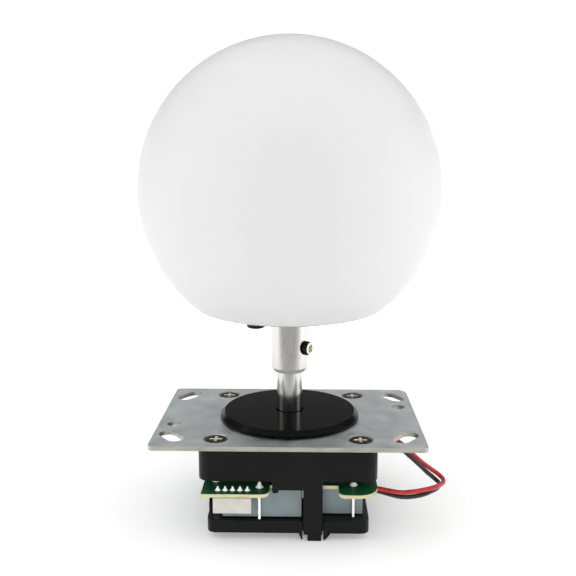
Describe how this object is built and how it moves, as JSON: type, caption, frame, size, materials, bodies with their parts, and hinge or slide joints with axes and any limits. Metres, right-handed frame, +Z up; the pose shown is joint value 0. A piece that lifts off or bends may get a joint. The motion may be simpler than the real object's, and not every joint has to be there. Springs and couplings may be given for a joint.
{
  "type": "arcade joystick",
  "caption": "Illuminated ball-top arcade joystick with a mounting plate, switch board, microswitches and square restrictor gate.",
  "frame": {"origin": "on the surface that it stands on, on the shaft's axis", "axes": "+Z up along the shaft, -Y towards the player, +X to the player's right"},
  "size_m": [0.1087, 0.1123, 0.1734],
  "materials": {
    "zinc_steel": "dull zinc plate",
    "black_plastic": "fine moulded texture",
    "washer_plastic": "semi-gloss",
    "black_screw": "black oxide with bright cross recess",
    "bright_steel": "polished",
    "spring_steel": "bright",
    "green_board": "solder-mask gloss",
    "white_nylon": "satin",
    "tinned_brass": "tinned",
    "grey_case": "satin",
    "milky_plastic": "translucent milky gloss",
    "red_vinyl": "soft gloss",
    "black_vinyl": "soft gloss",
    "lamp_dome": "clear"
  },
  "bodies": {
    "base": {"mounting_plate": "zinc_steel", "main_housing": "black_plastic", "spring_seat": "spring_steel", "switch_board": "green_board", "header_shroud": "white_nylon", "restrictor_gate": "black_plastic", "red_wire": "red_vinyl", "black_wire": "black_vinyl", "lead_hank": "red_vinyl", "lead_tie": "black_plastic", "lead_plug": "white_nylon", "plate_screw_1": "black_screw", "plate_screw_2": "black_screw", "plate_screw_3": "black_screw", "plate_screw_4": "black_screw", "header_pin_1": "tinned_brass", "header_pin_2": "tinned_brass", "header_pin_3": "tinned_brass", "header_pin_4": "tinned_brass", "header_pin_5": "tinned_brass", "microswitch_front": "grey_case", "common_terminal_front": "tinned_brass", "contact_terminal_front": "tinned_brass", "microswitch_right": "grey_case", "common_terminal_right": "tinned_brass", "contact_terminal_right": "tinned_brass", "microswitch_rear": "grey_case", "common_terminal_rear": "tinned_brass", "contact_terminal_rear": "tinned_brass", "microswitch_left": "grey_case", "common_terminal_left": "tinned_brass", "contact_terminal_left": "tinned_brass"},
    "ball_liner": {"pivot_liner": "white_nylon"},
    "ball_pivot": {"pivot_ball": "white_nylon"},
    "lever": {"shaft": "bright_steel", "actuator": "black_plastic", "e_clip": "spring_steel", "centering_spring": "spring_steel", "collar": "bright_steel", "collar_screw": "black_screw", "ball_shell": "milky_plastic", "ball_flange": "bright_steel", "flange_screw_1": "black_screw", "flange_screw_2": "black_screw", "lamp_board": "green_board", "lamp_1": "lamp_dome", "lamp_2": "lamp_dome", "lamp_3": "lamp_dome"},
    "washer_carrier": {"washer_backing": "black_plastic"},
    "washer": {"dust_washer": "washer_plastic"},
    "leaf_front": {"switch_leaf_front": "spring_steel", "switch_plunger_front": "black_plastic"},
    "leaf_right": {"switch_leaf_right": "spring_steel", "switch_plunger_right": "black_plastic"},
    "leaf_rear": {"switch_leaf_rear": "spring_steel", "switch_plunger_rear": "black_plastic"},
    "leaf_left": {"switch_leaf_left": "spring_steel", "switch_plunger_left": "black_plastic"}
  },
  "joints": [
    {"name": "tilt_x", "type": "hinge", "parent": "base", "child": "ball_liner", "pos_m": [0, 0, 0.0272], "axis": [1, 0, 0], "range_deg": [-7, 7], "stiffness_Nm_per_rad": 1.2},
    {"name": "tilt_y", "type": "hinge", "parent": "ball_liner", "child": "ball_pivot", "pos_m": [0, 0, 0.0272], "axis": [0, 1, 0], "range_deg": [-7, 7], "stiffness_Nm_per_rad": 1.2},
    {"name": "shaft_spin", "type": "hinge", "parent": "ball_pivot", "child": "lever", "pos_m": [0, 0, 0.0272], "axis": [0, 0, 1], "range_deg": [-90, 90]},
    {"name": "washer_slide_x", "type": "slide", "parent": "base", "child": "washer_carrier", "axis": [1, 0, 0], "range_m": [-0.00125, 0.00125]},
    {"name": "washer_slide_y", "type": "slide", "parent": "washer_carrier", "child": "washer", "axis": [0, 1, 0], "range_m": [-0.00125, 0.00125]},
    {"name": "leaf_front_bend", "type": "hinge", "parent": "base", "child": "leaf_front", "pos_m": [-0.019, -0.0099, 0.0124], "axis": [0, 0, 1], "range_deg": [-5.4, 5.4]},
    {"name": "leaf_right_bend", "type": "hinge", "parent": "base", "child": "leaf_right", "pos_m": [0.0099, -0.019, 0.0124], "axis": [0, 0, 1], "range_deg": [-5.4, 5.4]},
    {"name": "leaf_rear_bend", "type": "hinge", "parent": "base", "child": "leaf_rear", "pos_m": [0.019, 0.0099, 0.0124], "axis": [0, 0, 1], "range_deg": [-5.4, 5.4]},
    {"name": "leaf_left_bend", "type": "hinge", "parent": "base", "child": "leaf_left", "pos_m": [-0.0099, 0.019, 0.0124], "axis": [0, 0, 1], "range_deg": [-5.4, 5.4]}
  ],
  "couplings": [
    {"joint": "washer_slide_x", "follows": "tilt_y", "m_per_rad": 0.00995},
    {"joint": "washer_slide_y", "follows": "tilt_x", "m_per_rad": -0.00995},
    {"joint": "leaf_front_bend", "follows": "tilt_x", "ratio": 0.763},
    {"joint": "leaf_right_bend", "follows": "tilt_y", "ratio": 0.763},
    {"joint": "leaf_rear_bend", "follows": "tilt_x", "ratio": -0.763},
    {"joint": "leaf_left_bend", "follows": "tilt_y", "ratio": -0.763}
  ]
}
